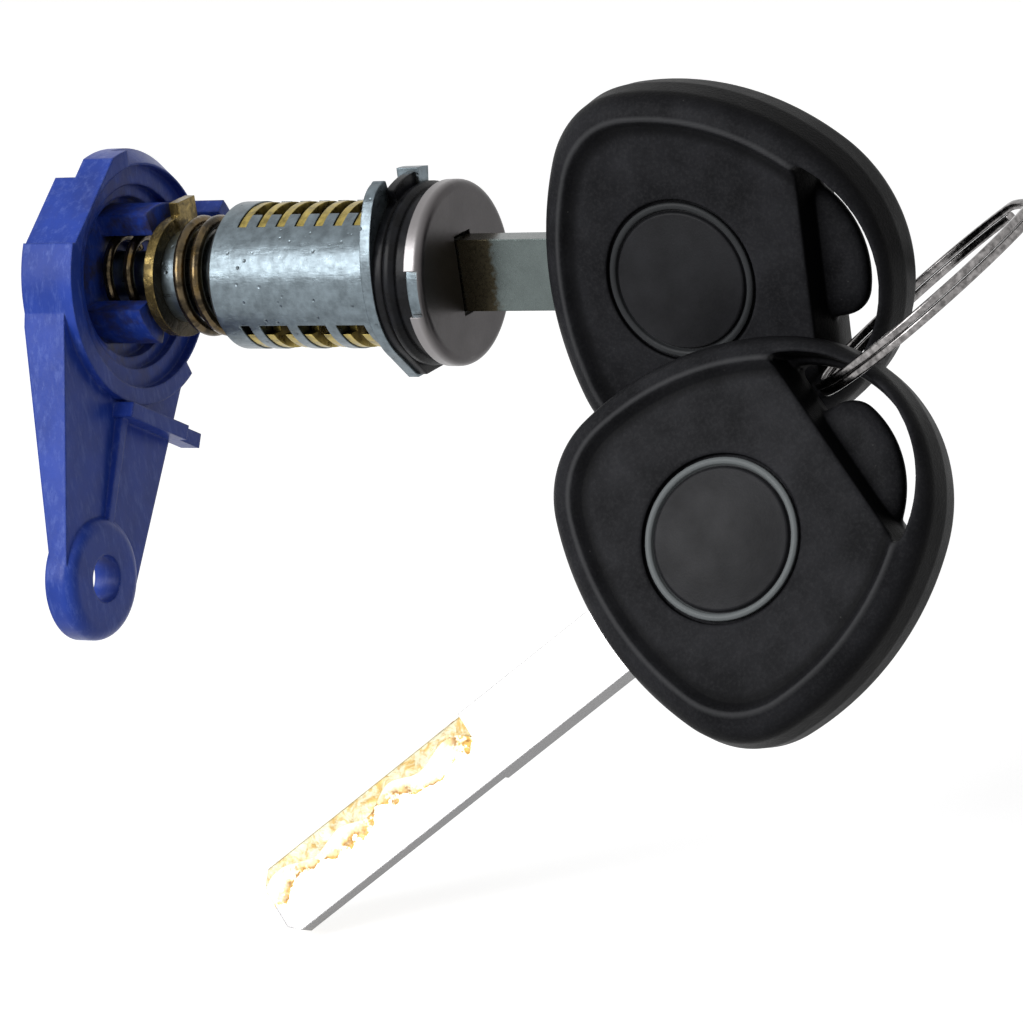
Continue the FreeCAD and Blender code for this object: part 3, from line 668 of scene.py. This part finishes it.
def plate_dark_faces(colours):
    """Yellow passivated steel: bright on its edge and its tang, and darkened to near black on its
    faces below the tang.
    """
    f = Finish("plate_steel")
    film = f.noise(1.3, 5, 0.62, twist=0.5)
    facing = f.add("SeparateXYZ", {0: f.add("NewGeometry", {}, out="True Normal")})
    face = f.span(f.sum("ABSOLUTE", facing, 0.0), 0.5, 0.8)
    base = f.blend(f.span(film, 0.40, 0.62), shade(colours.plate, 1.25), shade(colours.plate, 0.30))
    # The faces, told by their normal, are darkened in a dark grease colour below the tang.
    low = f.span(f.axis(2), 5.0, 3.4)
    dark_faces = f.sum("MULTIPLY", f.sum("MULTIPLY", face, low), 0.94)
    base = f.blend(dark_faces, base, shade(colours.grease, 0.30))
    return f.finish(base, f.span(film, 0.35, 0.65, 0.16, 0.36), metal=0.85, bevel=0.15,
                    bumps=((film, 0.07),))


def lever_blue(colours):
    """Blue moulded plastic: faint flow marks, scuffs on the outer wall and grease round the hub, with
    painted shade in the corners near the hub.
    """
    f = Finish("lever_blue")
    cloud = f.noise(5.0, 4, 0.55)
    grain = f.noise(0.35, 3, 0.6)
    scuff = f.noise(0.7, 5, 0.7, stretch=(1, 1, 0.3))
    base = f.blend(f.span(cloud, 0.3, 0.7), shade(colours.lever, 0.8), shade(colours.lever, 1.15))
    base = f.blend(f.span(scuff, 0.50, 0.78, 0.0, 0.42), base, (0.17, 0.25, 0.66))
    hub = f.span(f.away((0, 1, 1)), 12.5, 6.0)
    smear = f.sum("MULTIPLY", hub, f.span(f.noise(2.6, 5, 0.65), 0.47, 0.62))
    # Painted shade: patches of the grease colour in the corners near the hub, from the occlusion mask.
    patches = f.span(f.noise(1.8, 4), 0.42, 0.56)
    corner = f.sum("MULTIPLY", f.span(f.hollow(2.2), 0.55, 0.2), patches)
    corner = f.sum("MULTIPLY", corner, hub)
    base = f.blend(f.sum("MAXIMUM", f.sum("MULTIPLY", smear, 0.75), corner), base, colours.grease)
    rough = f.span(grain, 0.3, 0.7, 0.30, 0.42)
    return f.finish(base, rough, bumps=((grain, 0.012), (cloud, 0.08)), bevel=0.35,
                    Specular_IOR_Level=0.22)


def plated_blade(name, place, colours, tone, shaded):
    """A nickel-plated blade with a milled track of bare brass.

    Both are worn: the plate is gone down to cream brass along one side, with dark flakes. The edges
    and the tip get painted shade, and the blade in the lock has a dark band just before the cap,
    partly grease and partly painted shade.
    """
    f = Finish(name, place)
    depth = f.add("Math", {0: f.axis(1)}, operation="ABSOLUTE")
    along = f.axis(0)
    track = f.sum("MULTIPLY", f.span(depth, *TRACK_DEPTH), f.span(along, *TRACK_START))
    edge = f.add("Math", {0: f.axis(2)}, operation="ABSOLUTE")
    track = f.sum("MULTIPLY", track, f.span(edge, *TRACK_SIDE))
    cloud = f.noise(2.2, 5, 0.6)
    fine = f.noise(0.35, 4, 0.7)
    plate = f.blend(f.span(cloud, 0.3, 0.7), shade(tone, 0.9), shade(tone, 1.08))
    plate = f.blend(f.span(fine, 0.62, 0.75, 0.0, 0.5), plate, shade(tone, 0.55))
    # Painted shade: the blade's edges and its tip are painted darker, strongly on the spare and
    # faintly on the key in the lock.
    rim = f.sum("MAXIMUM", f.span(edge, *EDGE_SHADE), f.span(along, *TIP))
    plate = f.blend(f.sum("MULTIPLY", rim, 0.1 if shaded else 0.8), plate, shade(tone, 0.35))
    torn = f.noise(1.5, 6, 0.7, twist=0.8)
    brass = f.blend(f.span(torn, 0.40, 0.54), GOLD, CREAM)
    lip = f.sum("SUBTRACT", f.axis(2), f.span(f.noise(4.5, 5, 0.6), 0.3, 0.7, -1.3, 1.5))
    worn = f.sum("MULTIPLY", f.span(lip, -0.05, 0.10), f.span(along, *WORN_START))
    plate = f.blend(worn, plate, CREAM)
    flake = f.sum("MAXIMUM", f.span(lip, 1.3, 0.2), f.span(along, -34.5, -32.5))
    flake = f.sum("MULTIPLY", flake, f.span(f.noise(1.1, 5, 0.7), 0.42, 0.50))
    plate = f.blend(f.sum("MULTIPLY", worn, flake), plate,
                    f.blend(f.span(torn, 0.42, 0.54), FLAKED, colours.track))
    if shaded:
        # A dark band in the grease colour just before the cap: partly grease and partly painted shade
        # from the cap.
        near = f.sum("ADD", along, f.span(f.noise(0.7, 5, 0.7), 0.3, 0.7, -0.5, 0.5))
        mouth = f.span(near, *MOUTH_DARK_NEAR, 0.0, 0.85)
        mouth = f.sum("MULTIPLY", mouth, f.span(near, *MOUTH_DARK_FAR))
        plate = f.blend(mouth, plate, colours.grease)
    base = f.blend(track, plate, brass)
    bare = f.sum("MAXIMUM", track, worn)
    rough = f.sum("ADD", f.span(fine, 0.3, 0.7, 0.22, 0.34), f.sum("MULTIPLY", bare, 0.22))
    return f.finish(base, rough, metal=0.95, bevel=0.15,
                    bumps=((f.sum("MULTIPLY", torn, track), 0.22), (fine, 0.008)))


def bright_ring(colours):
    """Polished steel wire with fine rub marks."""
    f = Finish("bright_ring")
    rub = f.noise(0.6, 4, 0.6)
    base = f.blend(f.span(rub, 0.35, 0.7), shade(colours.ring, 0.45), shade(colours.ring, 1.3))
    return f.finish(base, f.span(rub, 0.3, 0.7, 0.10, 0.22), metal=1.0,
                    bumps=((rub, 0.01),))


def plain_glass():
    """Brown glass of the hidden transponders."""
    f = Finish("transponder_glass")
    return f.finish(f.blend(f.noise(1.0), (0.10, 0.05, 0.02), (0.16, 0.09, 0.04)), 0.1)


def paint(node, material):
    """Puts a finish on a carried-over node's own slots."""
    for slot in frame["nodes"][node].material_slots:
        slot.material = material


# Operators


class LOCKSET_OT_key_heads(Operator):
    """Makes both moulded key heads"""
    bl_idname = "lockset.key_heads"
    bl_label = "Key heads"

    def execute(self, context):
        shape = context.scene.lockset_head
        colours = context.scene.lockset_finish
        low = (-shape.base - 1.0, -shape.half_thick - 1.0, -shape.half_width - 1.0)
        high = (shape.nose + 1.0, shape.half_thick + 1.0, shape.half_width + 1.0)
        points, faces = surface_net(lambda s, n, t: head_distance(s, n, t, shape),
                                    low, high, shape.cell)
        crest_and_trough = border_highlight_and_shade(points, shape)
        for which, body in KEY_BODIES.items():
            matrix = key_matrix(which)
            over = (1, 1, 1) if which == "key" else (1, -1, -1)
            finish = moulded_black(which + "_plastic", matrix, colours)
            piece = add_piece(which + "_head_shell", placed(points * over, matrix), faces, finish,
                              body, (which + "_head",))
            layer = piece.data.attributes.new(BORDER_SHADING_NAME, "FLOAT", "POINT")
            layer.data.foreach_set("value", crest_and_trough)
        return {"FINISHED"}


# The badge insert: how deep it sits, the inner radius of its edge ring, the disc's radius and
# dome, and how strongly each key's edge ring is smoothed and given a painted sheen.
BADGE_DEPTH, BADGE_INNER, BADGE_DISC, BADGE_DOME = 1.08, 6.80, 6.55, 0.42
BADGE_SHEEN = {"key": 0.12, "spare": 0.9}


class LOCKSET_OT_badges(Operator):
    """Makes the four blank badge inserts"""
    bl_idname = "lockset.badges"
    bl_label = "Badges"

    def execute(self, context):
        shape = context.scene.lockset_head
        r = shape.badge
        top = shape.half_thick - shape.recess
        floor = shape.half_thick - BADGE_DEPTH
        rise = np.linspace(0, 1, 12)
        ring_a = np.linspace(0, np.pi, 14)
        disc_r = BADGE_DISC
        ring_mid, ring_half = (r + BADGE_INNER) / 2, (r - BADGE_INNER) / 2
        profile = np.concatenate([
            [[0.0, floor], [r, floor], [r, top - 0.35]],
            np.stack([ring_mid + ring_half * np.cos(ring_a),
                      top - 0.2 + 0.22 * np.sin(ring_a)], 1),
            [[6.74, top - 0.45], [disc_r + 0.06, top - 0.45], [disc_r, top - 0.25]],
            np.stack([disc_r - 0.25 * (1 - np.cos(rise * np.pi / 2)),
                      top - 0.25 + 0.25 * np.sin(rise * np.pi / 2)], 1),
            np.stack([(disc_r - 0.25) * (1 - rise[1:]),
                      top + BADGE_DOME * (1 - (1 - rise[1:]) ** 2)], 1)])
        points, faces = turned(profile)
        for which, body in KEY_BODIES.items():
            matrix = key_matrix(which)
            finish = badge_black(which + "_badge_plastic", matrix, context.scene.lockset_finish,
                                 BADGE_SHEEN[which])
            for side, sign in (("front", -1), ("back", 1)):
                moved = points * np.array([1.0, sign, 1.0])
                turned_faces = faces if sign < 0 else faces[:, ::-1]
                name = "%s_badge_%s" % (which, side)
                piece = add_piece(name + "_disc", placed(moved, matrix), turned_faces,
                                  finish, body, (name,))
                merge_close(piece)
        return {"FINISHED"}


def merge_close(piece):
    """Joins points that fall together, as at a pole, and points the faces outwards."""
    work = bmesh.new()
    work.from_mesh(piece.data)
    bmesh.ops.remove_doubles(work, verts=work.verts, dist=0.000001)
    bmesh.ops.recalc_face_normals(work, faces=work.faces)
    work.to_mesh(piece.data)
    work.free()


# Each coil, in millimetres and degrees: where it starts, pitch, turns, middle radius, first angle.
COILS = {
    "torsion_spring": (-19.7, 2.0, 2.2, 5.45, 0.0),
    "thrust_spring": (-27.625, 2.5, 2.42, 4.025, 90.0),
}


class LOCKSET_OT_springs(Operator):
    """Makes the torsion spring and the thrust spring"""
    bl_idname = "lockset.springs"
    bl_label = "Springs"

    def execute(self, context):
        wires = context.scene.lockset_wire
        colours = context.scene.lockset_finish
        finish = oiled_steel("spring_steel", colours.spring, colours)
        for node, wire in (("torsion_spring", wires.torsion_wire),
                           ("thrust_spring", wires.thrust_wire)):
            path, side = helix(*COILS[node])
            points, faces = tube(path, side, round_section(wire / 2))
            body = frame["nodes"][node]["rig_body"]
            piece = add_piece(node + "_wire", points, faces, finish, body, (node,))
            merge_close(piece)
        return {"FINISHED"}


# The split ring: its middle, the normal of its plane, the direction its wire is measured from,
# the angles where the wire starts and ends, and the angle and length of the crank between turns.
# The plane is turned by 2 degrees against the solids, so that it is seen as nearly edge-on as in
# the picture.
RING_CENTRE = (56.938, -3.805, -1.34)
RING_NORMAL = (-0.56361, -0.13916, 0.81423)
RING_FIRST = (0.447, 0.862, 0.331)
RING_START, RING_END = 11, 709
CRANK_START, CRANK_LENGTH = 352, 16


class LOCKSET_OT_split_ring(Operator):
    """Makes the split ring: two turns of flat wire joined by a short crank"""
    bl_idname = "lockset.split_ring"
    bl_label = "Split ring"

    def execute(self, context):
        wires = context.scene.lockset_wire
        normal = np.array(RING_NORMAL)
        normal /= np.linalg.norm(normal)
        first = np.array(RING_FIRST)
        first -= normal * (first @ normal)
        first /= np.linalg.norm(first)
        second = np.cross(normal, first)
        degrees = np.linspace(RING_START, RING_END, 620)
        angle = np.radians(degrees)
        lift = (wires.ring_axial + wires.ring_gap) / 2
        height = lift * (2 * ease((degrees - CRANK_START) / CRANK_LENGTH) - 1)
        outward = np.cos(angle)[:, None] * first + np.sin(angle)[:, None] * second
        path = np.array(RING_CENTRE) + outward * wires.ring_radius + height[:, None] * normal
        flatness = wires.ring_axial / wires.ring_radial
        section = round_section(wires.ring_radial / 2, 24, 4.0, flatness)
        points, faces = tube(path, outward, section)
        finish = bright_ring(context.scene.lockset_finish)
        piece = add_piece("split_ring_wire", points, faces, finish, "ring", ("split_ring",))
        merge_close(piece)
        return {"FINISHED"}


# A darker copy of the nickel plate for the key that is always in use: painted shade, since both blades
# have the same plate.
SHADED_NICKEL = (0.105, 0.125, 0.122)


class LOCKSET_OT_finishes(Operator):
    """Gives the carried-over metal, rubber and plastic parts their finishes"""
    bl_idname = "lockset.finishes"
    bl_label = "Finishes"

    def execute(self, context):
        colours = context.scene.lockset_finish
        zinc = cast_zinc(colours)
        for node in ("barrel", "head_ring"):
            paint(node, zinc)
        paint("cap", satin_cap(colours))
        paint("gasket", rubber_seal(colours))
        brass = wafer_brass(colours)
        for i in range(7):
            paint("wafer_%d" % (i + 1), brass)
        small = oiled_steel("clip_steel", colours.spring, colours)
        paint("retaining_clip", small)
        paint("wafer_springs", small)
        paint("drive_plate", plate_dark_faces(colours))
        paint("lever", lever_blue(colours))
        glass = plain_glass()
        for which in KEY_BODIES:
            matrix = key_matrix(which)
            # The key in the lock gets the darker copy of the nickel as painted shade.
            tone = colours.nickel if which == "spare" else SHADED_NICKEL
            finish = plated_blade(which + "_nickel", matrix, colours, tone, which == "key")
            paint(which + "_blade", finish)
            paint(which + "_transponder", glass)
        return {"FINISHED"}


# Where the lamps look, in metres, and where each stands: direction, distance and size.
LAMP_AIM = (0.015, -0.005, -0.005)
LAMPS = {
    "key_lamp": ((-0.37, -0.80, 0.47), 0.60, 0.34),
    "fill_lamp": ((0.75, -0.35, 0.55), 0.70, 0.45),
}
# The fitted camera: its place in millimetres and its axes.
CAMERA_PLACE = (232.861, -375.851, 98.169)
CAMERA_RIGHT = (0.868637, 0.475991, -0.137483)
CAMERA_UP = (-0.014435, 0.301687, 0.953298)
CAMERA_BACK = (0.495238, -0.826086, 0.268927)
# The white behind the lock set as the camera and reflections see it, and the floor's own glow.
WHITE, FLOOR_GLOW = 1.0, 0.80
# How far below the lowest point of the lock set the floor lies, in metres.
FLOOR_GAP = 0.0005


def area_lamp(name, towards, distance, size, power):
    """A soft square lamp that stands off in a direction and looks back at the lock set."""
    data = bpy.data.lights.new(name, "AREA")
    data.shape = "SQUARE"
    data.size = size
    data.energy = power
    lamp = bpy.data.objects.new(name, data)
    direction = Vector(towards).normalized()
    lamp.location = Vector(LAMP_AIM) + direction * distance
    lamp.rotation_mode = "QUATERNION"
    lamp.rotation_quaternion = (-direction).to_track_quat("-Z", "Y")
    bpy.context.scene.collection.objects.link(lamp)


def background_share(tree):
    """1 for rays from the camera and for reflected or refracted rays, 0 for the rest."""
    path = tree.nodes.new("ShaderNodeLightPath")
    total = path.outputs["Is Camera Ray"]
    for name in ("Is Glossy Ray", "Is Transmission Ray"):
        node = tree.nodes.new("ShaderNodeMath")
        node.operation = "MAXIMUM"
        tree.links.new(total, node.inputs[0])
        tree.links.new(path.outputs[name], node.inputs[1])
        total = node.outputs[0]
    return total


class LOCKSET_OT_stage(Operator):
    """Makes the floor, the lamps, the surroundings and the camera"""
    bl_idname = "lockset.stage"
    bl_label = "Stage"

    def execute(self, context):
        scene = context.scene
        stage = scene.lockset_stage
        scene.view_settings.view_transform = "Standard"
        world = bpy.data.worlds.new("surroundings")
        world.use_nodes = True
        scene.world = world
        light = world.node_tree.nodes["Background"]
        light.inputs["Color"].default_value = (1, 1, 1, 1)
        strength = world.node_tree.nodes.new("ShaderNodeMapRange")
        world.node_tree.links.new(background_share(world.node_tree), strength.inputs["Value"])
        strength.inputs["To Min"].default_value = stage.ambient
        strength.inputs["To Max"].default_value = WHITE
        world.node_tree.links.new(strength.outputs[0], light.inputs["Strength"])
        self.floor(stage)
        area_lamp("key_lamp", *LAMPS["key_lamp"], stage.key_power)
        area_lamp("fill_lamp", *LAMPS["fill_lamp"], stage.fill_power)
        data = bpy.data.cameras.new("camera")
        data.lens = stage.lens
        data.sensor_width = 36.0
        data.clip_start, data.clip_end = 0.01, 10.0
        camera = bpy.data.objects.new("camera", data)
        turn = Matrix((CAMERA_RIGHT, CAMERA_UP, CAMERA_BACK)).transposed().to_4x4()
        camera.matrix_world = Matrix.Translation(Vector(CAMERA_PLACE) * MM) @ turn
        scene.collection.objects.link(camera)
        scene.camera = camera
        return {"FINISHED"}

    def floor(self, stage):
        low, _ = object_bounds()
        across = np.linspace(-1.0, 1.0, 9)
        x, y = np.meshgrid(across, across, indexing="ij")
        points = np.stack([x, y, 0 * x + low.z - FLOOR_GAP], -1).reshape(-1, 3)
        mesh = bpy.data.meshes.new("floor")
        mesh.from_pydata(points.tolist(), [], grid_quads(9, 9, False, False)[:, ::-1].tolist())
        f = Finish("floor_paint")
        f.finish(f.blend(f.noise(40.0), shade(stage.floor, 0.985), stage.floor), 0.9)
        glow = f.tree.nodes.new("ShaderNodeMapRange")
        f.tree.links.new(background_share(f.tree), glow.inputs["Value"])
        glow.inputs["To Max"].default_value = FLOOR_GLOW
        f.skin.inputs["Emission Color"].default_value = (1, 1, 1, 1)
        f.tree.links.new(glow.outputs[0], f.skin.inputs["Emission Strength"])
        mesh.materials.append(f.material)
        floor = bpy.data.objects.new("floor", mesh)
        bpy.context.scene.collection.objects.link(floor)
        floor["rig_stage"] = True


OPERATORS = (LOCKSET_OT_key_heads, LOCKSET_OT_badges, LOCKSET_OT_springs, LOCKSET_OT_split_ring,
             LOCKSET_OT_finishes, LOCKSET_OT_stage)


class LOCKSET_PT_sidebar(Panel):
    """Lists the pieces of the lock set"""
    bl_label = "Lock set"
    bl_space_type = "VIEW_3D"
    bl_region_type = "UI"
    bl_category = "Lock set"

    def draw(self, context):
        for operator in OPERATORS:
            self.layout.operator(operator.bl_idname)
        for group in (context.scene.lockset_head, context.scene.lockset_wire,
                      context.scene.lockset_finish, context.scene.lockset_stage):
            box = self.layout.box()
            for name in group.bl_rna.properties.keys():
                if name not in ("rna_type", "name"):
                    box.prop(group, name)


GROUPS = {"lockset_head": HeadSettings, "lockset_wire": WireSettings,
          "lockset_finish": FinishSettings, "lockset_stage": StageSettings}


def register():
    for kind in (*GROUPS.values(), *OPERATORS, LOCKSET_PT_sidebar):
        bpy.utils.register_class(kind)
    for name, group in GROUPS.items():
        setattr(bpy.types.Scene, name, PointerProperty(type=group))


def unregister():
    for name in GROUPS:
        delattr(bpy.types.Scene, name)
    for kind in (LOCKSET_PT_sidebar, *reversed(OPERATORS), *GROUPS.values()):
        bpy.utils.unregister_class(kind)


def main():
    register()
    for operator in OPERATORS:
        group, name = operator.bl_idname.split(".")
        getattr(getattr(bpy.ops, group), name)()


if __name__ == "__main__":
    main()
